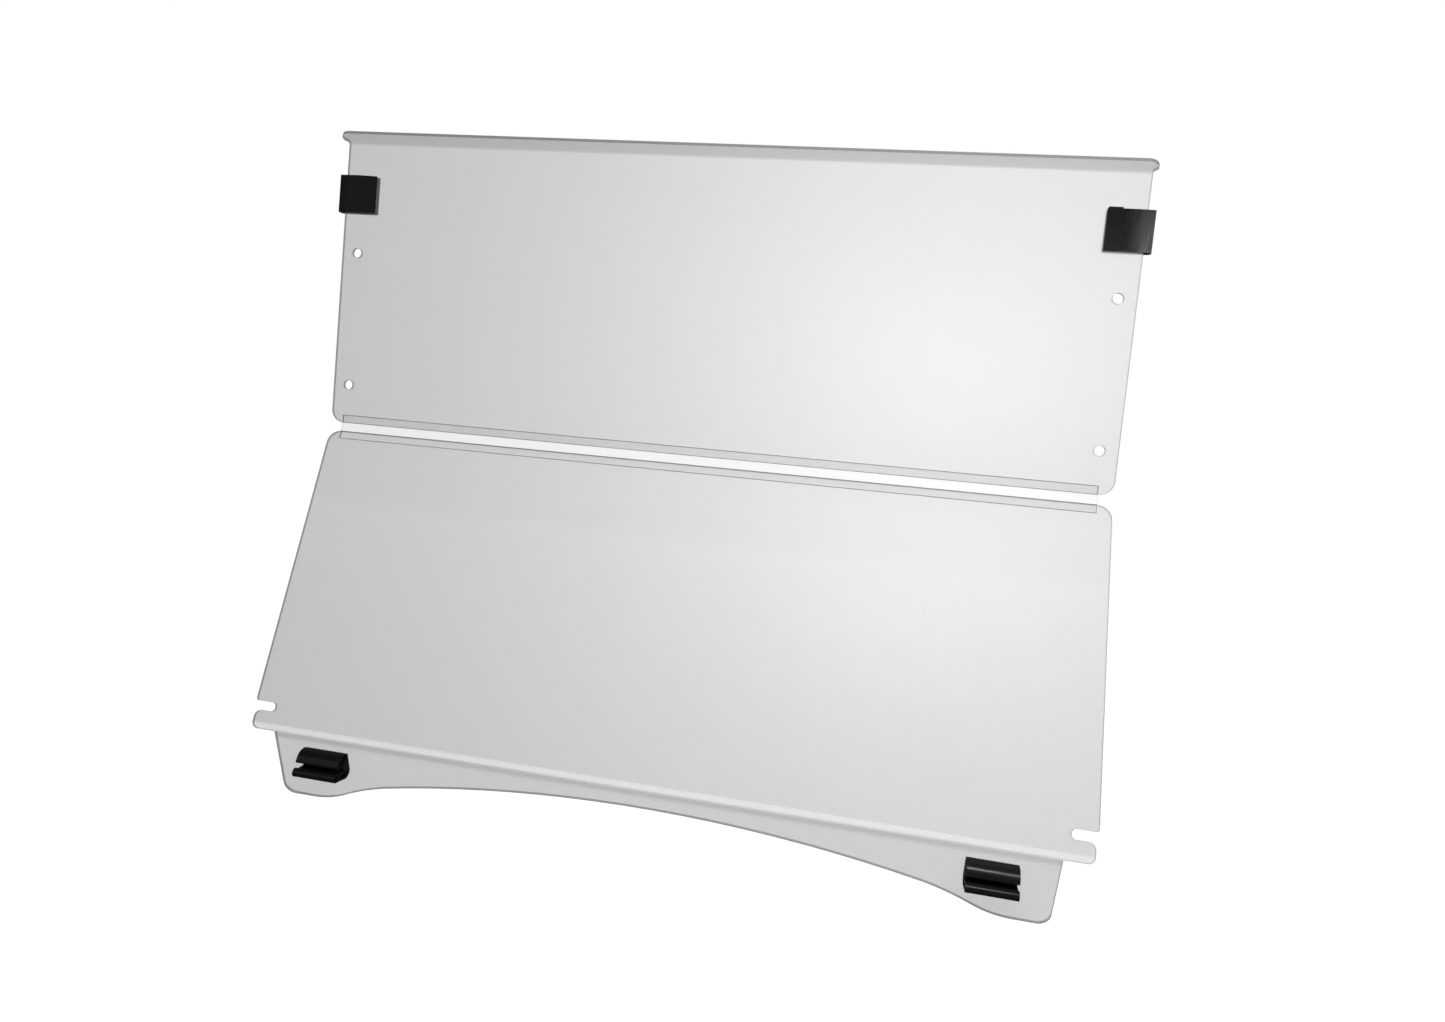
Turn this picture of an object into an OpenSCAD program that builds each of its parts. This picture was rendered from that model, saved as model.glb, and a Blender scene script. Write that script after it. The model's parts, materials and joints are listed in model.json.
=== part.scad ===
// Hinged sneeze guard: two clear panels joined by a flexible strip hinge.
// +X is to the right along the hinge, +Y points to the back, +Z is up.
// The origin is the centre of the four mounting holes, on the upper panel's back face.

/* [Panels] */
// Width of both panels
panel_w = 762; // [600:1:1200]
// Thickness of the clear sheet
sheet_t = 3; // [2:0.5:6]
// Height of the upper panel, from its hinge edge to the flange bend
upper_h = 280; // [240:1:400]
// Height of the lower panel, from its hinge edge to the skirt bend
lower_h = 299; // [240:1:400]
// Radius of the panel corners beside the hinge
corner_r = 13; // [3:1:25]
// Angle between the two panels, away from flat
fold_angle = 18.6; // [5:0.1:40]

/* [Flange] */
// Length of the top flange, from the bend to its free edge
flange_len = 16; // [15:0.5:30]
// Slope of the top flange above level
flange_rise = 16.2602; // [0:0.0001:40]
// How far each end of the flange stands out past the panel
flange_out = 3; // [1:0.5:6]
// Radius of the flange's front corners
flange_corner_r = 11; // [4:0.5:12]
// Inner radius of the flange bend
flange_bend_r = 2; // [1.5:0.5:4]

/* [Skirt] */
// Angle that the skirt bends back from the lower panel
skirt_bend = 36.8699; // [20:0.0001:60]
// Inner radius of the skirt bend
skirt_bend_r = 12; // [6:1:14]
// Width of the skirt
skirt_w = 709; // [700:1:1150]
// Depth of the skirt at its feet, from the bend
skirt_depth = 70.5; // [68:0.5:76]
// Depth of the skirt at the middle of the arch
arch_depth = 20; // [16:0.5:24]
// Radius of the arch
arch_r = 1150; // [1050:10:1300]
// Distance from the middle at which the arch tightens into its shoulder
shoulder_x = 240; // [220:1:245]
// Radius of the arch's shoulder
shoulder_r = 220; // [180:5:260]
// Radius where the shoulder rolls over into each foot
foot_r = 80; // [60:1:90]
// Radius of the skirt's outer corners
skirt_corner_r = 11; // [4:1:12]

/* [Slots] */
// Width of each side slot
slot_w = 8.2; // [6:0.1:10]
// Depth of each side slot, from the panel's edge
slot_reach = 21.5; // [12:0.5:26]
// Distance of each slot's centre line from the hinge edge
slot_at = 278.6; // [200:0.1:280]
// Radius of the corner above each slot
slot_lip_r = 3; // [1:0.5:5]
// Radius of the tab's corners below each slot
tab_r = 6.5; // [2:0.5:7]
// How far each tab stops short of the panel's side edge
tab_short = 2; // [0:0.5:4]

/* [Mounting holes] */
// Hole diameter
hole_d = 9.5; // [5:0.1:12]
// Spacing of the holes across the panel
hole_span_x = 730; // [500:1:740]
// Spacing of the holes up the panel
hole_span_z = 133; // [80:1:160]
// Height of the middle of the holes above the hinge's fold line
hole_mid_z = 109.7; // [100:0.1:140]

/* [Hinge strip] */
// Length of the hinge strip
strip_len = 735; // [500:1:745]
// Gap between the panels' edges when the guard lies flat
hinge_gap = 8.8; // [6:0.1:12]
// Width of each leaf on its panel
leaf_w = 8; // [6:0.5:12]
// Thickness of each leaf
leaf_t = 1.2; // [1:0.1:2]
// Thickness of the flexible web between the leaves
web_t = 0.6; // [0.4:0.1:1]
// Thickness of the bonding tape under each leaf
bond_t = 0.3; // [0.2:0.05:0.5]

/* [Edge clips] */
// Width of an edge clip
edge_clip_w = 40; // [34:1:50]
// Height of an edge clip
edge_clip_h = 36.5; // [25:1:50]
// Thickness of the clip's front jaw at its crown
edge_jaw_t = 2.8; // [2.4:0.1:4]
// Thickness of the clip's back jaw
edge_back_t = 2; // [1.5:0.1:3]
// Depth of the clip's closed end, outside its slot
edge_end_t = 2.6; // [2:0.1:4]
// Crown radius of the front jaw
edge_crown_r = 140; // [100:5:200]
// Radius of the clip's outer corners
edge_corner_r = 3; // [1.5:0.1:3.5]
// Distance of the clip's centre from the guard's centre
edge_clip_x = 367.2; // [365:0.1:372]
// Height of the clip's centre above the hinge's fold line
edge_clip_z = 234; // [200:0.5:240]

/* [Rail clips] */
// Length of a rail clip along the rail
rail_clip_len = 42; // [20:1:60]
// Distance of the clip's centre from the guard's centre
rail_clip_x = 300.5; // [200:0.5:320]
// Height of a rail clip's section
rail_clip_h = 24.8; // [22:0.1:30]
// Distance of the clip's top from the skirt bend, down the skirt
rail_clip_drop = 9.7; // [8:0.1:18]

/* [Clip pads] */
// Thickness of the foam tape pads between the clips and the sheet
pad_t = 1; // [0.5:0.1:2]
// Width of a pad
pad_w = 12; // [8:1:14]
// How far the right edge clip's pad stands above its clip
pad_proud = 2; // [0.5:0.1:3]

/* [Hidden] */
$fn = 96;

clear = "#DDE3E6";
strip_clear = "#EEF2F4";
black = "#1B1C1E";
over = 1;
web_gap = 0.3;
profile_h = 27.6;

front_y = leaf_t / 2 + bond_t;
back_y = front_y + sheet_t;
pivot_y = -back_y;
half_gap = hinge_gap / 2;

flange_bend = 90 - flange_rise;
flange_set = flange_bend_r * tan(flange_bend / 2);
flange_start_z = half_gap + upper_h - flange_set;

skirt_set = (skirt_bend_r + sheet_t) * tan(skirt_bend / 2);
skirt_start_z = half_gap + lower_h - skirt_set;

kiss = 2;
arch_mid = arch_depth + arch_r;
shoulder_turn = asin(shoulder_x / arch_r);
shoulder_off = sqrt(pow(arch_r, 2) + pow(shoulder_r, 2) - 2 * arch_r * shoulder_r * cos(kiss));
shoulder_mid = [shoulder_off * sin(shoulder_turn), arch_mid - shoulder_off * cos(shoulder_turn)];
foot_mid_z = skirt_depth - foot_r * cos(kiss);
foot_drop = shoulder_mid[1] - foot_mid_z;
foot_off = sqrt(pow(shoulder_r, 2) + pow(foot_r, 2) + 2 * shoulder_r * foot_r * cos(kiss));
foot_mid = [shoulder_mid[0] + sqrt(foot_off * foot_off - foot_drop * foot_drop), foot_mid_z];

// Places a shape drawn about the fold line into the part's frame.
module from_fold_line() translate([0, pivot_y, -hole_mid_z]) children();

// Places a flat lower assembly, drawn about the fold line, at its resting angle.
module lower_rest() from_fold_line() rotate([-fold_angle, 0, 0]) children();

// Extrudes a side profile, drawn as (Y, Z), by a width centred on X = 0.
module across(width) rotate([90, 0, 90]) linear_extrude(width, center = true) children();

// Extrudes a front outline, drawn as (X, Z), into a sheet between two Y values.
module sheet(y_low, y_high)
    translate([0, y_high, 0]) rotate([90, 0, 0]) linear_extrude(y_high - y_low) children();

// Moves a shape drawn with Z down from the skirt bend onto the skirt.
module on_skirt()
    translate([0, back_y + skirt_bend_r, -skirt_start_z])
        rotate([skirt_bend, 0, 0])
            translate([0, -back_y - skirt_bend_r, skirt_set]) children();

// Removes the square corner at (x, z); side_x and side_z point outwards from the sheet.
module corner_trim(x, z, r, side_x, side_z)
    translate([x - side_x * r, z - side_z * r])
        difference() {
            translate([side_x > 0 ? 0 : -r - over, side_z > 0 ? 0 : -r - over]) square(r + over);
            circle(r = r);
        }

// Side profile of a bend about the origin: it starts on the first axis and turns by less than 90.
module ring_sector(r_inner, r_outer, sweep) {
    far = 2 * r_outer;
    intersection() {
        difference() {
            circle(r = r_outer);
            circle(r = r_inner);
        }
        polygon([[0, 0], [far, 0], [far, far], [far * cos(sweep), far * sin(sweep)]]);
    }
}

// The flat of the upper panel: rounded at the hinge edge, drilled at the four mounting points.
module upper_flat()
    sheet(front_y, back_y)
        difference() {
            translate([-panel_w / 2, half_gap])
                square([panel_w, flange_start_z - half_gap]);
            for (side = [-1, 1])
                corner_trim(side * panel_w / 2, half_gap, corner_r, side, -1);
            for (side = [-1, 1], level = [-1, 1])
                translate([side * hole_span_x / 2, hole_mid_z + level * hole_span_z / 2])
                    circle(d = hole_d);
        }

// The bend that turns the upper panel forward into its flange.
module flange_turn()
    translate([0, front_y - flange_bend_r, flange_start_z])
        across(panel_w) ring_sector(flange_bend_r, flange_bend_r + sheet_t, flange_bend);

// The flange outline, as (X, reach from the bend): it widens past the panel, then rounds off.
module flange_outline() {
    wide = panel_w / 2 + flange_out;
    reach = flange_len - flange_set;
    round_start = reach - flange_corner_r;
    difference() {
        polygon([
            [-panel_w / 2, 0], [panel_w / 2, 0], [wide, round_start],
            [wide, reach], [-wide, reach], [-wide, round_start]
        ]);
        for (side = [-1, 1]) corner_trim(side * wide, reach, flange_corner_r, side, 1);
    }
}

module upper_panel() color(clear) from_fold_line() {
    upper_flat();
    flange_turn();
    translate([0, front_y - flange_bend_r, flange_start_z])
        rotate([flange_bend, 0, 0])
            sheet(flange_bend_r, flange_bend_r + sheet_t) flange_outline();
}

// One side slot with a round inner end, and the corners on both sides of its mouth.
module slot_cut(side) {
    slot_z = -half_gap - slot_at;
    end_x = panel_w / 2 - slot_reach + slot_w / 2;
    translate([side * end_x, slot_z]) circle(d = slot_w);
    translate([side > 0 ? end_x : -panel_w / 2 - over, slot_z - slot_w / 2])
        square([slot_reach - slot_w / 2 + over, slot_w]);
    corner_trim(side * panel_w / 2, slot_z + slot_w / 2, slot_lip_r, side, -1);
}

// The waste around one tab: beside it, at its two corners, and below it out past the skirt.
module tab_cut(side) {
    tab_top = -half_gap - slot_at - slot_w / 2;
    tab_low = -half_gap - lower_h - over;
    tab_end = panel_w / 2 - tab_short;
    waste_low = tab_low - skirt_bend_r;
    translate([side > 0 ? tab_end : -panel_w / 2 - over, waste_low])
        square([tab_short + over, tab_top - waste_low]);
    translate([side > 0 ? skirt_w / 2 : -panel_w / 2 - over, waste_low])
        square([(panel_w - skirt_w) / 2 + over, skirt_bend_r]);
    corner_trim(side * tab_end, tab_top, tab_r, side, 1);
    corner_trim(side * tab_end, tab_low, tab_r, side, -1);
}

// The flat of the lower panel, down to where the skirt bend starts.
module lower_flat()
    sheet(front_y, back_y)
        difference() {
            translate([-panel_w / 2, -skirt_start_z])
                square([panel_w, skirt_start_z - half_gap]);
            for (side = [-1, 1]) {
                corner_trim(side * panel_w / 2, -half_gap, corner_r, side, 1);
                slot_cut(side);
            }
        }

// The bend between the lower panel and its skirt.
module skirt_turn()
    translate([0, back_y + skirt_bend_r, -skirt_start_z])
        across(panel_w) rotate(180)
            ring_sector(skirt_bend_r, skirt_bend_r + sheet_t, skirt_bend);

// The skirt's outline: two rounded feet, and an arch of three arcs that meet at the kiss angle.
module skirt_outline()
    mirror([0, 1])
        difference() {
            translate([-skirt_w / 2, skirt_set])
                square([skirt_w, skirt_depth - skirt_set]);
            intersection() {
                translate([0, arch_mid]) circle(r = arch_r, $fn = 720);
                union() {
                    translate([-shoulder_x, 0]) square([2 * shoulder_x, skirt_depth + over]);
                    for (side = [-1, 1])
                        translate([side * shoulder_mid[0], shoulder_mid[1]])
                            circle(r = shoulder_r, $fn = 360);
                }
            }
            for (side = [-1, 1]) {
                corner_trim(side * skirt_w / 2, skirt_depth, skirt_corner_r, side, 1);
                foot_cut(side);
            }
        }

// The waste between the arch's shoulder and the arc of one foot.
module foot_cut(side) {
    low = skirt_depth + over;
    start_x = shoulder_mid[0] + (foot_mid[0] - shoulder_mid[0]) * (shoulder_mid[1] - low) / foot_drop;
    difference() {
        polygon([
            [side * start_x, low], [side * foot_mid[0], foot_mid[1]], [side * foot_mid[0], low]
        ]);
        translate([side * foot_mid[0], foot_mid[1]]) circle(r = foot_r, $fn = 180);
    }
}

module lower_panel() color(clear) lower_rest() {
    difference() {
        union() {
            lower_flat();
            skirt_turn();
        }
        for (side = [-1, 1])
            sheet(front_y - over, back_y + skirt_bend_r) tab_cut(side);
    }
    on_skirt() sheet(front_y, back_y) skirt_outline();
}

// One hinge leaf: a flat strip between the fold line's gap and its free edge.
module leaf(y_low, y_high)
    sheet(y_low, y_high)
        translate([-strip_len / 2, half_gap]) square([strip_len, leaf_w]);

module hinge_upper_leaf() color(strip_clear) from_fold_line() leaf(-leaf_t / 2, leaf_t / 2);

module hinge_lower_leaf()
    color(strip_clear) lower_rest() mirror([0, 0, 1]) leaf(-leaf_t / 2, leaf_t / 2);

module hinge_upper_bond() color(strip_clear) from_fold_line() leaf(leaf_t / 2, front_y);

module hinge_lower_bond()
    color(strip_clear) lower_rest() mirror([0, 0, 1]) leaf(leaf_t / 2, front_y);

// The thin web that flexes: flat halves above and below a round fold.
module hinge_web() color(strip_clear) from_fold_line() across(strip_len) {
    translate([-web_t / 2, 0]) square([web_t, half_gap]);
    circle(d = web_t, $fn = 32);
    rotate(-fold_angle) translate([-web_t / 2, -half_gap + web_gap]) square([web_t, half_gap - web_gap]);
}

// Plan of an edge clip, as (X outwards, Y back from its face): two jaws closed at the outer end.
module edge_clip_plan() {
    slot_from = edge_jaw_t;
    slot_to = edge_jaw_t + pad_t + sheet_t + web_gap;
    slot_mid = (slot_from + slot_to) / 2;
    slot_r = (slot_to - slot_from) / 2;
    slot_end = edge_clip_w - edge_end_t - slot_r;
    depth = slot_to + edge_back_t;
    difference() {
        intersection() {
            square([edge_clip_w, depth]);
            translate([0.55 * edge_clip_w, edge_crown_r]) circle(r = edge_crown_r, $fn = 360);
        }
        translate([-over, slot_from]) square([slot_end + over, slot_to - slot_from]);
        translate([slot_end, slot_mid]) circle(r = slot_r);
        corner_trim(edge_clip_w, 0, edge_corner_r, 1, -1);
        corner_trim(edge_clip_w, depth, edge_corner_r, 1, 1);
        corner_trim(0, depth, edge_back_t / 2, -1, 1);
    }
}

// An edge clip pushed onto the upper panel's side edge.
module edge_clip(side)
    translate([
        side * (edge_clip_x - edge_clip_w / 2),
        front_y - pad_t - edge_jaw_t,
        edge_clip_z - edge_clip_h / 2
    ])
        mirror([side < 0 ? 1 : 0, 0, 0])
            linear_extrude(edge_clip_h) edge_clip_plan();

module edge_clip_left() color(black) from_fold_line() edge_clip(-1);
module edge_clip_right() color(black) from_fold_line() edge_clip(1);

// The foam pad between an edge clip's front jaw and the panel, beside the jaw's tip.
module edge_pad(side, proud) {
    inner_x = edge_clip_x - edge_clip_w / 2 + over;
    sheet(front_y - pad_t, front_y)
        translate([side > 0 ? inner_x : -inner_x - pad_w, edge_clip_z - edge_clip_h / 2 + over])
            square([pad_w, edge_clip_h - over + proud]);
}

module edge_pad_left() color(black) from_fold_line() edge_pad(-1, -over);
module edge_pad_right() color(black) from_fold_line() edge_pad(1, pad_proud);

// The two round discs whose overlap is the leaf-shaped upper jaw, shrunk by an inset.
module leaf_jaw(inset)
    intersection() {
        translate([8, 12.5]) circle(r = 12.5 - inset);
        translate([11, -2.5]) circle(r = 13.6 - inset);
        translate([2 * inset, 0]) square([20, 14]);
    }

// Side profile of a rail clip, as (forward from its back, down from its top): a thick back,
// a hollow leaf-shaped upper jaw, and a hollow lower jaw that ends in a hollow round bead.
module rail_clip_side() {
    back_t = 9.7;
    back_corner_r = 7;
    bead = [23.3, 17];
    bead_r = 4.4;
    wall = 1.3;
    difference() {
        union() {
            leaf_jaw(0);
            difference() {
                translate([0, 3]) square([back_t, profile_h - 3]);
                polygon([[2.8, 2], [2.8, 6.5], [back_t + over, 13.5], [back_t + over, 2]]);
                corner_trim(0, profile_h, back_corner_r, -1, 1);
            }
            polygon([
                [back_t - over, 18.6], [19.8, 15.6],
                bead, bead + [1.2, 4.2],
                [back_t - over, profile_h]
            ]);
            translate(bead) circle(r = bead_r);
        }
        leaf_jaw(wall);
        translate(bead) circle(r = bead_r - wall);
        polygon([[4, 20.5], [back_t, 20.3], [18, 18], [18.3, 21.6], [back_t, 25.6], [6, 25.4], [4, 23.5]]);
    }
}

// A rail clip on the skirt's front face, with its mouth towards the front.
module rail_clip(side)
    on_skirt()
        translate([side * rail_clip_x, front_y - pad_t, -rail_clip_drop])
            rotate([0, 0, 180])
                rotate([90, 0, 90])
                    linear_extrude(rail_clip_len, center = true)
                        mirror([0, 1]) scale(rail_clip_h / profile_h) rail_clip_side();

module rail_clip_left() color(black) lower_rest() rail_clip(-1);
module rail_clip_right() color(black) lower_rest() rail_clip(1);

// The foam pad between a rail clip and the skirt.
module rail_pad(side)
    on_skirt()
        sheet(front_y - pad_t, front_y)
            translate([side * rail_clip_x - rail_clip_len / 2 + over, -rail_clip_drop - 6 - pad_w])
                square([rail_clip_len - 2 * over, pad_w]);

module rail_pad_left() color(black) lower_rest() rail_pad(-1);
module rail_pad_right() color(black) lower_rest() rail_pad(1);

upper_panel();
lower_panel();
hinge_upper_leaf();
hinge_lower_leaf();
hinge_web();
hinge_upper_bond();
hinge_lower_bond();
edge_clip_left();
edge_clip_right();
edge_pad_left();
edge_pad_right();
rail_clip_left();
rail_clip_right();
rail_pad_left();
rail_pad_right();
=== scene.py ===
# %% [markdown]
# # A folding sneeze guard in clear acrylic
# A sneeze guard is a clear screen that hangs above food on a counter. This one has an upper panel
# with a small flange, a lower panel with an arched skirt, a flexible vinyl hinge between them, and
# four black clips. The exact model already gives every size, so this file is about looks: what the
# clear sheet, its cut edges, the vinyl, the black plastic and the foam are made of.
# Each step below first says what the real thing is, and then makes it.

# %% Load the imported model
import json
import math

import bmesh
import bpy
from mathutils import Euler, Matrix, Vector


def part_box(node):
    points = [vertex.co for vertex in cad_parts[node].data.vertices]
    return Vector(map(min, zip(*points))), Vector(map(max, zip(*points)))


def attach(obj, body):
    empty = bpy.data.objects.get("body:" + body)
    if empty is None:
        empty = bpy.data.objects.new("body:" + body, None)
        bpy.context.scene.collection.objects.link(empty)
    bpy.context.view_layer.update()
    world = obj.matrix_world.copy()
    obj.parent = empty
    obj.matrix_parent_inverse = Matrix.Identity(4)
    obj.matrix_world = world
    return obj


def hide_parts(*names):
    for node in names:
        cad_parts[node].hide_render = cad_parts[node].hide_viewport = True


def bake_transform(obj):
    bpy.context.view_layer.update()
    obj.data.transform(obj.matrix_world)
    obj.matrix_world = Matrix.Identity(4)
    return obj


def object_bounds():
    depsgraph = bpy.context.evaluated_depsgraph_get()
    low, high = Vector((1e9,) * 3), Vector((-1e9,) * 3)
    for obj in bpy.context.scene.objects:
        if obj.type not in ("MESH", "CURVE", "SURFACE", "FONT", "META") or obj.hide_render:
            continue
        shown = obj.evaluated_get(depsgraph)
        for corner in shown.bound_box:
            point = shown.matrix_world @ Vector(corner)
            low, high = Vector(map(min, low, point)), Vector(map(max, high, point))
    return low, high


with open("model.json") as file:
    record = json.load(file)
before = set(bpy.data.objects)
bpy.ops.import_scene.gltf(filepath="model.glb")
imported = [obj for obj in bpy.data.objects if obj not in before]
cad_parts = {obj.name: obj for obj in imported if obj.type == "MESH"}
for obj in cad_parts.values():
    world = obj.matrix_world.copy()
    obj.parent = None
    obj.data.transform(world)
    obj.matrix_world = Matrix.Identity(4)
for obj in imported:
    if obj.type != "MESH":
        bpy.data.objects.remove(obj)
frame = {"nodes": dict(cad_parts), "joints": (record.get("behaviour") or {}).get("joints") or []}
cad_box = [list(corner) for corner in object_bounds()]
nodes = frame["nodes"]
print("nodes:", len(nodes), "box:", cad_box)

# %% [markdown]
# The camera stands less than a metre in front of the guard, a little to the right, at the height
# of the hinge. A short lens that close gives the strong perspective of a product picture, where
# the near side of the guard looks taller than the far side. The camera's place is in metres, its
# turn in degrees and its lens in millimetres.

# %% Camera
CAMERA_AT = (0.18343, -0.84807, -0.09835)
CAMERA_TURN = (86.2328, -5.3887, 10.3834)
CAMERA_LENS = 22.529
SENSOR_WIDTH = 36.0

camera_data = bpy.data.cameras.new("guard_camera")
camera_data.sensor_fit = "HORIZONTAL"
camera_data.sensor_width = SENSOR_WIDTH
camera_data.lens = CAMERA_LENS
camera = bpy.data.objects.new("guard_camera", camera_data)
camera.location = CAMERA_AT
camera.rotation_euler = Euler([math.radians(degrees) for degrees in CAMERA_TURN])
bpy.context.collection.objects.link(camera)
bpy.context.scene.camera = camera
bpy.context.scene.view_settings.view_transform = "Standard"
print("camera at", tuple(camera.location))

# %% [markdown]
# A clear sheet shows what is behind it and what it mirrors, so the room matters more here than
# for a painted part. The room is a white studio: a pale floor, a white surround, one broad soft
# lamp close in front of the guard's right half, and a larger one further off on the left. The
# near lamp makes the sheet brighten from left to right. It has no mirror image, because that
# would turn the right edge clip grey. Three smaller lamps are there to be mirrored, as narrow
# bands on the black clips. The low one is close enough to light the sheet as well.

# %% Studio
FLOOR_GAP = 0.12
LAMPS = {
    "key_right": {
        "at": (0.17, -0.47, 0.05), "to": (0.19, 0.0, -0.03), "size": (0.4, 0.4), "watts": 0.95,
        "mirrored": False,
    },
    "strip_low": {
        "at": (0.26, -0.46, 0.03), "to": (0.26, 0.0, -0.04), "size": (0.30, 0.08), "watts": 1.3,
    },
    "fill_left": {
        "at": (-0.9, -1.3, 0.1), "to": (0.0, 0.0, -0.1), "size": (1.2, 1.2), "watts": 0.95,
    },
    "strip_front": {
        "at": (0.76, -0.88, 0.27), "to": (0.37, 0.0, 0.12), "size": (0.05, 0.08), "watts": 0.9,
    },
    "strip_side": {
        "at": (1.17, -0.56, 0.35), "to": (0.37, 0.0, 0.12), "size": (0.40, 0.30), "watts": 1.0,
    },
}


def add_lamp(name, at, to, size, watts, mirrored=True):
    """A rectangular area lamp at one point, turned to face another. Glossy parts may mirror it."""
    data = bpy.data.lights.new(name, "AREA")
    data.shape = "RECTANGLE"
    data.size, data.size_y = size
    data.energy = watts
    lamp = bpy.data.objects.new(name, data)
    lamp.location = at
    lamp.visible_camera = False
    lamp.visible_glossy = mirrored
    lamp.rotation_euler = (Vector(to) - Vector(at)).to_track_quat("-Z", "Y").to_euler()
    bpy.context.collection.objects.link(lamp)


for lamp_name, lamp in LAMPS.items():
    add_lamp(lamp_name, **lamp)
print("lamps:", list(LAMPS))

# %% [markdown]
# Blender materials are small graphs. One helper adds a node, sets its sockets and its properties,
# and links other nodes' outputs to its inputs, so that each material below reads as a short list.
# Colours are written as the hex values a designer would pick and turned to linear light here.

# %% Helpers for materials
MM_PER_M = 1000.0


def linear(hex_colour):
    """An sRGB hex colour as linear red, green, blue and an alpha of one."""
    out = []
    for i in (0, 2, 4):
        c = int(hex_colour[i:i + 2], 16) / 255
        out.append(c / 12.92 if c <= 0.04045 else ((c + 0.055) / 1.055) ** 2.4)
    return (*out, 1.0)


def add(tree, kind, sockets=None, links=None, **properties):
    """Adds a node: sockets sets input values, links joins outputs to inputs, the rest are its properties."""
    node = tree.nodes.new(kind)
    for key, value in properties.items():
        setattr(node, key, value)
    for key, value in (sockets or {}).items():
        node.inputs[key].default_value = value
    for key, output in (links or {}).items():
        tree.links.new(output, node.inputs[key])
    return node


def new_material(name):
    """An empty node material, and its tree."""
    material = bpy.data.materials.new(name)
    material.use_nodes = True
    material.node_tree.nodes.clear()
    return material, material.node_tree


def mm_noise(tree, size_mm, detail=3.0, stretch=(1.0, 1.0, 1.0)):
    """Noise on Object coordinates whose blobs are size_mm across, stretched along chosen axes."""
    place = add(tree, "ShaderNodeTexCoord")
    turned = add(tree, "ShaderNodeMapping", {"Scale": stretch}, {"Vector": place.outputs["Object"]})
    return add(
        tree, "ShaderNodeTexNoise", {"Scale": MM_PER_M / size_mm, "Detail": detail},
        {"Vector": turned.outputs["Vector"]},
    )


print("a 1 mm pattern repeats", MM_PER_M, "times in a metre")

# %% [markdown]
# The floor and the surround stand for a lit paper sweep. The floor glows a little, and it is left
# out of mirror and bounce light, so it gives a pale ground and nothing else. The surround looks
# white to the camera and sends the guard only a weak, slightly cool light.

# %% Floor and surround
FLOOR_SIZE = 8.0


def make_floor():
    """A pale matt floor below the guard. It glows a little, as a lit paper sweep seems to."""
    material, tree = new_material("Painted_Floor")
    grain = mm_noise(tree, 40.0)
    rough = add(
        tree, "ShaderNodeMapRange", {"To Min": 0.7, "To Max": 0.9}, {"Value": grain.outputs["Fac"]}
    )
    shader = add(
        tree, "ShaderNodeBsdfPrincipled",
        {"Base Color": linear("F4F4F3"), "Emission Color": linear("FFFFFF"), "Emission Strength": 1.0},
        {"Roughness": rough.outputs["Result"]},
    )
    add(tree, "ShaderNodeOutputMaterial", links={"Surface": shader.outputs["BSDF"]})
    bm = bmesh.new()
    bmesh.ops.create_grid(bm, x_segments=1, y_segments=1, size=FLOOR_SIZE / 2)
    bmesh.ops.translate(bm, verts=bm.verts, vec=(0, 0, cad_box[0][2] - FLOOR_GAP))
    mesh = bpy.data.meshes.new("floor")
    bm.to_mesh(mesh)
    bm.free()
    floor = bpy.data.objects.new("floor", mesh)
    floor.data.materials.append(material)
    bpy.context.collection.objects.link(floor)
    return floor


floor = make_floor()
floor.visible_diffuse = False
floor.visible_glossy = False

world = bpy.data.worlds.new("studio")
bpy.context.scene.world = world
world.use_nodes = True
sky = world.node_tree
sky.nodes.clear()
ray = add(sky, "ShaderNodeLightPath")
seen = add(sky, "ShaderNodeBackground", {"Color": linear("FFFFFF"), "Strength": 1.0})
soft = add(sky, "ShaderNodeBackground", {"Color": linear("F6F7FA"), "Strength": 0.05})
both = add(
    sky, "ShaderNodeMixShader",
    links={0: ray.outputs["Is Camera Ray"], 1: soft.outputs[0], 2: seen.outputs[0]},
)
add(sky, "ShaderNodeOutputWorld", links={"Surface": both.outputs[0]})
print("floor at", round(cad_box[0][2] - FLOOR_GAP, 4))

# %% [markdown]
# Cast acrylic is a clear sheet with a polished face. Over a white room it reads as a light grey
# veil, because each face mirrors a little and the sheet holds a little tint. Glass-like refraction
# would be slow and noisy for a flat sheet 3 mm thick, so each face is made partly see-through, with
# a satin gloss on top. Faint waves, tens of millimetres long, keep the gloss from looking ideal.
# A sheet that was bent hot shows a bright band and a dark band along its bend, from the way the
# curve bends the light. Here both bands are painted: a painted highlight band and a painted shade
# band. The flange and the lower part of the lower panel get painted shade as well. A curve gives
# this painted light at each distance, from -1 for clearest, a painted highlight, to 1 for densest,
# a painted shade. The first two constants turn it into opacity and into a darker colour.

# %% Clear cast acrylic
PAINTED_SHADE_TO_ALPHA = 0.09
PAINTED_SHADE_TO_TINT = 0.35
PAINTED_SHADE_COLOUR = "8F8C88"
SHEET_IOR = 1.49
SMEAR_MM = 28.0
ROUGH_SPREAD = 0.05


def painted_bend_light(tree, along, curve):
    """Painted light from -1, a highlight, to 1, shade, read from (mm, value) points along a direction."""
    place = add(tree, "ShaderNodeTexCoord")
    reach = add(
        tree, "ShaderNodeVectorMath", {1: along}, {0: place.outputs["Object"]}, operation="DOT_PRODUCT"
    )
    low, high = curve[0][0], curve[-1][0]
    spot = add(
        tree, "ShaderNodeMapRange", {"From Min": low / MM_PER_M, "From Max": high / MM_PER_M},
        {"Value": reach.outputs["Value"]},
    )
    ramp = add(tree, "ShaderNodeValToRGB", links={"Fac": spot.outputs["Result"]})
    stops = ramp.color_ramp.elements
    for mm, _ in curve[1:-1]:
        stops.new((mm - low) / (high - low))
    for stop, (_, painted_shade) in zip(stops, curve):
        grey = (painted_shade + 1) / 2
        stop.color = (grey, grey, grey, 1.0)
    return add(
        tree, "ShaderNodeMath", {1: 2.0, 2: -1.0}, {0: ramp.outputs["Color"]}, operation="MULTIPLY_ADD"
    ).outputs["Value"]


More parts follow.
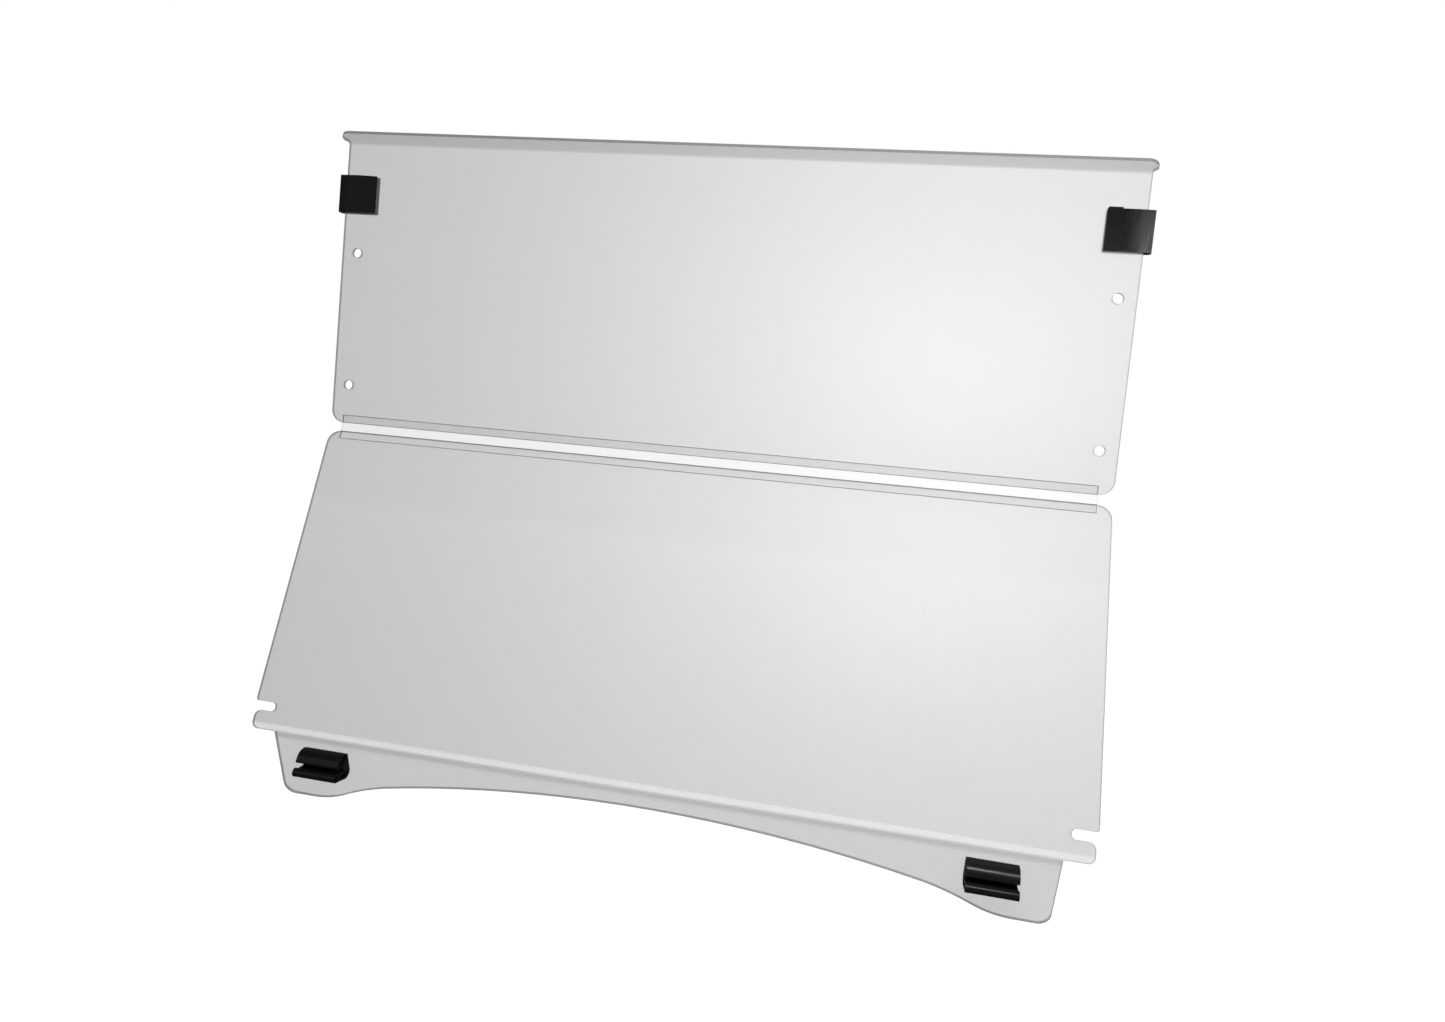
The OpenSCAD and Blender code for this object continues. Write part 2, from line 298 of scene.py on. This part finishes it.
def clear_sheet_material(name, colour, alpha, rough, wave_mm, wave_depth, bend=None):
    """A see-through glossy plastic whose surface waves gently. A bend curve can paint a highlight and shade
    on it.
    """
    material, tree = new_material(name)
    smear = mm_noise(tree, SMEAR_MM, detail=4.0, stretch=(1.0, 1.0, 0.35))
    waves = mm_noise(tree, wave_mm, detail=1.0)
    bump = add(
        tree, "ShaderNodeBump", {"Strength": 0.35, "Distance": wave_depth / MM_PER_M},
        {"Height": waves.outputs["Fac"]},
    )
    gloss = add(
        tree, "ShaderNodeMapRange", {"To Min": rough - ROUGH_SPREAD, "To Max": rough + ROUGH_SPREAD},
        {"Value": smear.outputs["Fac"]},
    )
    values = {"IOR": SHEET_IOR, "Base Color": linear(colour), "Alpha": alpha}
    inputs = {"Roughness": gloss.outputs["Result"], "Normal": bump.outputs["Normal"]}
    if bend:
        # Painted light: the bend curve makes the sheet clearer as a painted highlight, or denser and darker
        # as painted shade.
        painted_shade = painted_bend_light(tree, *bend)
        inputs["Alpha"] = add(
            tree, "ShaderNodeMath", {1: PAINTED_SHADE_TO_ALPHA, 2: alpha}, {0: painted_shade}, operation="MULTIPLY_ADD"
        ).outputs["Value"]
        painted_shade_share = add(tree, "ShaderNodeMath", {1: PAINTED_SHADE_TO_TINT}, {0: painted_shade}, operation="MULTIPLY")
        inputs["Base Color"] = add(
            tree, "ShaderNodeMix", {"A": linear(colour), "B": linear(PAINTED_SHADE_COLOUR)},
            {"Factor": painted_shade_share.outputs["Value"]}, data_type="RGBA",
        ).outputs["Result"]
    shader = add(tree, "ShaderNodeBsdfPrincipled", values, inputs)
    add(tree, "ShaderNodeOutputMaterial", links={"Surface": shader.outputs["BSDF"]})
    return material


LEAN = math.radians(18.6)
# The flange curve paints shade on the flange, which faces down.
FLANGE_BEND_PAINTED_SHADE = ((0.0, 0.0, 1.0), ((173.6, 0.0), (174.8, 0.8)))
# The skirt curve paints shade that grows towards the bottom of the lower panel, then a highlight band and a
# shade band across the bend, and paints the skirt below a little clearer.
SKIRT_BEND_PAINTED_LIGHT = (
    (0.0, -math.sin(LEAN), -math.cos(LEAN)),
    (
        (160.0, 0.0), (402.8, 0.3), (404.2, -0.7), (405.4, -1.0), (408.2, -1.0),
        (409.3, 0.5), (410.4, 1.0), (412.4, 0.9), (416.0, -0.15),
    ),
)
ACRYLIC_UPPER = clear_sheet_material(
    "Cast_Acrylic_Polished_Upper", "E2E1DF", 0.33, 0.45, 60.0, 0.10, FLANGE_BEND_PAINTED_SHADE
)
ACRYLIC_LOWER = clear_sheet_material(
    "Cast_Acrylic_Polished_Lower", "E2E1DF", 0.33, 0.45, 60.0, 0.10, SKIRT_BEND_PAINTED_LIGHT
)
print(ACRYLIC_UPPER.name, ACRYLIC_LOWER.name)

# %% [markdown]
# Light that enters an acrylic sheet runs along inside it and leaves at the cut edges, so an edge
# looks darker than the face. Here that is painted shade: a warm grey line, denser than the face.
# The edges are sawn, then polished, and their corners are eased, which catches a thin bright line.

# %% Polished acrylic edge
# Painted shade: the warm grey stands in for the light that the cut edges bend away.
ACRYLIC_EDGE = clear_sheet_material("Cast_Acrylic_Cut_Edge", "8B8580", 0.72, 0.30, 6.0, 0.04)
print(ACRYLIC_EDGE.name)

# %% [markdown]
# The hinge is a strip of flexible clear PVC, extruded, so it has very fine lines along its length.
# It is thinner and clearer than the acrylic. Its cut ends and long edges show as thin dark lines,
# which are painted shade, as on the acrylic edges.

# %% Clear vinyl and tape
VINYL = clear_sheet_material("Flexible_PVC_Extruded", "F1F1F0", 0.02, 0.30, 20.0, 0.05)
VINYL_WEB = clear_sheet_material("Flexible_PVC_Web", "F4F4F3", 0.12, 0.34, 12.0, 0.05)
# Painted shade: the dark grey edge finish stands in for the light that the vinyl's edges bend away.
VINYL_EDGE = clear_sheet_material("Flexible_PVC_Edge", "5A5653", 0.80, 0.35, 4.0, 0.02)
TAPE = clear_sheet_material("Acrylic_Bonding_Tape", "EDEDEC", 0.01, 0.40, 8.0, 0.02)
print(VINYL.name, VINYL_WEB.name, VINYL_EDGE.name, TAPE.name)

# %% [markdown]
# The clips are extruded in black rigid plastic. Extrusion leaves a satin skin with long faint
# lines in the direction it was pushed, and a fine mottled grain. That spreads a lamp's mirror
# image into a soft band, which is what shows the clip's curves although the plastic is black.

# %% Black extruded plastic
LINE_MM = 0.8
LINE_STRETCH = 0.02
GRAIN_MM = 0.5


def black_plastic_material(name, along, tones, gloss):
    """Black satin plastic with lines that run along one axis: 0 for X, 2 for Z."""
    material, tree = new_material(name)
    squeeze = [1.0, 1.0, 1.0]
    squeeze[along] = LINE_STRETCH
    lines = mm_noise(tree, LINE_MM, detail=2.0, stretch=tuple(squeeze))
    grain = mm_noise(tree, GRAIN_MM, detail=2.0)
    height = add(
        tree, "ShaderNodeMath", {1: 0.5}, {0: lines.outputs["Fac"], 2: grain.outputs["Fac"]},
        operation="MULTIPLY_ADD",
    )
    bump = add(
        tree, "ShaderNodeBump", {"Strength": 0.25, "Distance": 0.0001},
        {"Height": height.outputs["Value"]},
    )
    shade = add(
        tree, "ShaderNodeMix", {"A": linear(tones[0]), "B": linear(tones[1])},
        {"Factor": grain.outputs["Fac"]}, data_type="RGBA",
    )
    rough = add(
        tree, "ShaderNodeMapRange", {"To Min": gloss[0], "To Max": gloss[1]},
        {"Value": lines.outputs["Fac"]},
    )
    shader = add(
        tree, "ShaderNodeBsdfPrincipled", {"IOR": 1.50},
        {
            "Base Color": shade.outputs["Result"],
            "Roughness": rough.outputs["Result"],
            "Normal": bump.outputs["Normal"],
        },
    )
    add(tree, "ShaderNodeOutputMaterial", links={"Surface": shader.outputs["BSDF"]})
    return material


# The rail clips get a lighter black and the edge clips a darker one, though they are one plastic: painted
# light on the rail clips and painted shade on the edge clips.
BLACK_ALONG_X = black_plastic_material(
    "Rigid_PVC_Black_Extruded", 0, ("1A1A1B", "262627"), (0.16, 0.30)
)
BLACK_ALONG_Z = black_plastic_material(
    "Rigid_PVC_Black_Edge_Clip", 2, ("090909", "101011"), (0.22, 0.36)
)
print(BLACK_ALONG_X.name, BLACK_ALONG_Z.name)

# %% [markdown]
# Foam tape is a soft black strip full of closed cells a little over half a millimetre across. It
# has almost no gloss. A cell pattern gives both the pits and the cell walls, and the pits are
# painted darker than the walls, which is painted shade in the hollows.

# %% Foam tape
CELL_MM = 0.6


def foam_material():
    """Matt black foam with a fine pattern of cells."""
    material, tree = new_material("EPDM_Foam_Tape_Black")
    place = add(tree, "ShaderNodeTexCoord")
    cells = add(
        tree, "ShaderNodeTexVoronoi", {"Scale": MM_PER_M / CELL_MM}, {"Vector": place.outputs["Object"]}
    )
    bump = add(
        tree, "ShaderNodeBump", {"Strength": 0.6, "Distance": 0.0002},
        {"Height": cells.outputs["Distance"]},
    )
    # Painted shade: the colour darkens towards the bottom of each pit.
    shade = add(
        tree, "ShaderNodeMix", {"A": linear("101010"), "B": linear("232322")},
        {"Factor": cells.outputs["Distance"]}, data_type="RGBA",
    )
    shader = add(
        tree, "ShaderNodeBsdfPrincipled", {"Roughness": 0.85},
        {"Base Color": shade.outputs["Result"], "Normal": bump.outputs["Normal"]},
    )
    add(tree, "ShaderNodeOutputMaterial", links={"Surface": shader.outputs["BSDF"]})
    return material


FOAM = foam_material()
print(FOAM.name)

# %% [markdown]
# The exact model's corners are perfectly sharp, and no real edge is. So each clear piece is remade
# from its exact node, with a small bevel between its faces and its cut edges. That needs a way to
# tell the two apart on a sheet that bends. The sheet's front direction is worked out at each
# place. A facet that points that way, or straight back, is a face, and any other is a cut edge.

# %% Faces and cut edges
SAME_FACING = 0.97


def front_at(place, side, lean, turn=0.0, start=0.0, along=(0, 0, 1), radii=(1.0, 1.0)):
    """The sheet's front direction at a place: it leans, then turns about X over a bend."""
    past = place.dot(Vector(along)) - start
    angle = lean - math.asin(min(max(past / radii[side], 0.0), math.sin(turn)))
    return Vector((0, -math.cos(angle), math.sin(angle)))


def is_cut(face, shape):
    """True for a facet that does not point the way the sheet faces at that place."""
    front = front_at(face.calc_center_median(), int(face.normal.y > 0), **shape)
    return abs(face.normal.dot(front)) < SAME_FACING


print("a face is within", round(math.degrees(math.acos(SAME_FACING)), 1), "degrees of the front")

# %% [markdown]
# The copy is cleaned first: loose triangles are joined, slivers go, and each flat area becomes one
# facet. Then the edges between a face and a cut edge are rounded, and each facet is marked as a
# face or a cut edge, which decides its finish.

# %% Cleaned copies with eased corners
WELD_DISTANCE = 1e-6
SLIVER_LENGTH = 4e-5
FLAT_LIMIT = math.radians(0.3)


def merged_copy(node):
    """A bmesh of a node's mesh with its loose triangles joined and its flat areas cleaned."""
    bm = bmesh.new()
    bm.from_mesh(nodes[node].data)
    bmesh.ops.remove_doubles(bm, verts=bm.verts, dist=WELD_DISTANCE)
    bmesh.ops.dissolve_degenerate(bm, edges=bm.edges, dist=SLIVER_LENGTH)
    bmesh.ops.dissolve_limit(
        bm, angle_limit=FLAT_LIMIT, verts=bm.verts, edges=bm.edges, use_dissolve_boundaries=False
    )
    return bm


def ease_corners(bm, width, shape):
    """Bevels every edge between a face and a cut edge with a small round."""
    sharp = [
        e for e in bm.edges
        if len(e.link_faces) == 2 and is_cut(e.link_faces[0], shape) != is_cut(e.link_faces[1], shape)
    ]
    bmesh.ops.bevel(
        bm, geom=sharp, offset=width, offset_type="OFFSET", affect="EDGES", segments=2,
        profile=0.5, material=-1, clamp_overlap=True,
    )
    return len(sharp)


def mark_edges(bm, shape):
    """Gives material 1 to the cut edges."""
    bmesh.ops.triangulate(bm, faces=bm.faces[:])
    for face in bm.faces:
        face.material_index = int(is_cut(face, shape))
    return sum(face.material_index for face in bm.faces)


print("slivers under", SLIVER_LENGTH, "m go, and", round(math.degrees(FLAT_LIMIT), 2), "degrees is flat")

# %% [markdown]
# A bent sheet mirrors a lamp smoothly, but a mesh is made of flat facets. So the face facets take
# their shading direction from the same formula for the sheet's front.

# %% Shading directions and objects
SMOOTH_LIMIT = math.radians(15)


def sheet_normals(mesh, shape):
    """Gives the sheet's faces exact shading normals, so that flat parts look flat and bends round."""
    corners = [corner.vector.copy() for corner in mesh.corner_normals]
    for facet in mesh.polygons:
        if facet.material_index:
            continue
        for corner in facet.loop_indices:
            place = mesh.vertices[mesh.loops[corner].vertex_index].co
            front = front_at(place, int(facet.normal.y > 0), **shape)
            corners[corner] = front if facet.normal.dot(front) > 0 else -front
    mesh.normals_split_custom_set(corners)


def piece_from_bmesh(bm, name, materials, shape=None):
    """Turns a bmesh into an object at the origin, smooth where it is nearly flat or round."""
    mesh = bpy.data.meshes.new(name)
    bm.to_mesh(mesh)
    bm.free()
    for material in materials:
        mesh.materials.append(material)
    mesh.shade_smooth()
    mesh.set_sharp_from_angle(angle=SMOOTH_LIMIT)
    if shape:
        sheet_normals(mesh, shape)
    piece = bpy.data.objects.new(name, mesh)
    bpy.context.collection.objects.link(piece)
    return piece


print("edges over", round(math.degrees(SMOOTH_LIMIT)), "degrees stay sharp")

# %% [markdown]
# There are four clear pieces. The upper panel turns forward at its flange, and the lower panel
# turns back at its skirt. The two hinge leaves are flat, and each lies along its own panel. The
# radii are those of the bend's front and back faces.

# %% The four clear pieces
PANEL_EASE = 0.00035
UPPER_LEAF_EASE = 0.0005
LOWER_LEAF_EASE = 0.00025


def clear_piece(node, body, ease, materials, shape):
    """A clear sheet piece with eased corners and its own edge finish, in place of a node."""
    bm = merged_copy(node)
    sharp = ease_corners(bm, ease, shape)
    cut = mark_edges(bm, shape)
    piece = piece_from_bmesh(bm, node + "_finished", materials, shape)
    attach(piece, body)
    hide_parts(node)
    print(node, "eased edges:", sharp, "cut facets:", cut, "of", len(piece.data.polygons))


STRIP_FINISH = (VINYL, VINYL_EDGE)
UPRIGHT = {"lean": 0.0}
LEANING = {"lean": LEAN}
FLANGED = {"lean": 0.0, "turn": math.radians(73.74), "start": 0.1732, "radii": (0.002, 0.005)}
SKIRTED = {
    "lean": LEAN, "turn": math.radians(36.87), "start": 0.4037,
    "along": SKIRT_BEND_PAINTED_LIGHT[0], "radii": (0.015, 0.012),
}
clear_piece("upper_panel", "upper", PANEL_EASE, (ACRYLIC_UPPER, ACRYLIC_EDGE), FLANGED)
clear_piece("lower_panel", "lower", PANEL_EASE, (ACRYLIC_LOWER, ACRYLIC_EDGE), SKIRTED)
clear_piece("hinge_upper_leaf", "upper", UPPER_LEAF_EASE, STRIP_FINISH, UPRIGHT)
clear_piece("hinge_lower_leaf", "lower", LOWER_LEAF_EASE, STRIP_FINISH, LEANING)

# %% [markdown]
# The middle of the hinge strip is a thin web that bends. The exact model holds it as one stiff
# solid for weighing only. Here it is a fine sheet that starts inside the upper leaf, curves over
# the fold and ends inside the lower leaf.

# %% Flexible hinge web
WEB_T = 0.0006
WEB_ROWS = 14
WEB_OVERLAP = 0.0004
SIDEWAYS = 0.5


def make_web():
    """A thin curved sheet between the two leaves, with real thickness."""
    low_upper, high_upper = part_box("hinge_upper_leaf")
    low_web, high_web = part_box("hinge_web")
    fold = Vector(frame["joints"][0]["pos_m"])
    top = Vector((0, fold.y, low_upper.z + WEB_OVERLAP))
    reach = (low_upper.z - fold.z) + WEB_OVERLAP
    end = fold + Vector((0, -math.sin(LEAN), -math.cos(LEAN))) * reach
    bm = bmesh.new()
    left = bm.verts.new((low_upper.x, top.y, top.z))
    right = bm.verts.new((high_upper.x, top.y, top.z))
    row = [bm.edges.new((left, right))]
    for step in range(1, WEB_ROWS + 1):
        t = step / WEB_ROWS
        point = top.lerp(fold, t).lerp(fold.lerp(end, t), t)
        made = bmesh.ops.extrude_edge_only(bm, edges=row)["geom"]
        verts = [v for v in made if isinstance(v, bmesh.types.BMVert)]
        row = [e for e in made if isinstance(e, bmesh.types.BMEdge) and all(v in verts for v in e.verts)]
        for v in verts:
            v.co.y, v.co.z = point.y, point.z
    bmesh.ops.recalc_face_normals(bm, faces=bm.faces)
    bmesh.ops.solidify(bm, geom=bm.faces[:], thickness=WEB_T)
    bmesh.ops.recalc_face_normals(bm, faces=bm.faces)
    shift = sum(v.co.y for v in bm.verts) / len(bm.verts) - (low_web.y + high_web.y) / 2
    print("web points:", len(bm.verts), "offset mm:", round(shift * 1000, 3))
    for face in bm.faces:
        face.material_index = int(abs(face.normal.x) > SIDEWAYS)
    web = piece_from_bmesh(bm, "hinge_web_flexible", (VINYL_WEB, VINYL_EDGE))
    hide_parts("hinge_web")
    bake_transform(web)


make_web()

# %% [markdown]
# The other parts keep their exact shape and only get their real finish. The edge clips were
# extruded upright and the rail clips lengthwise, so their fine lines run in different directions.

# %% Finishes for the exact parts
def paint(node, material):
    """Puts one material on every slot of an exact node."""
    mesh = nodes[node].data
    if not mesh.materials:
        mesh.materials.append(material)
    for index in range(len(mesh.materials)):
        mesh.materials[index] = material


for side in ("left", "right"):
    paint("edge_clip_" + side, BLACK_ALONG_Z)
    paint("rail_clip_" + side, BLACK_ALONG_X)
    paint("edge_pad_" + side, FOAM)
    paint("rail_pad_" + side, FOAM)
for level in ("upper", "lower"):
    paint("hinge_" + level + "_bond", TAPE)
print("painted exact parts")
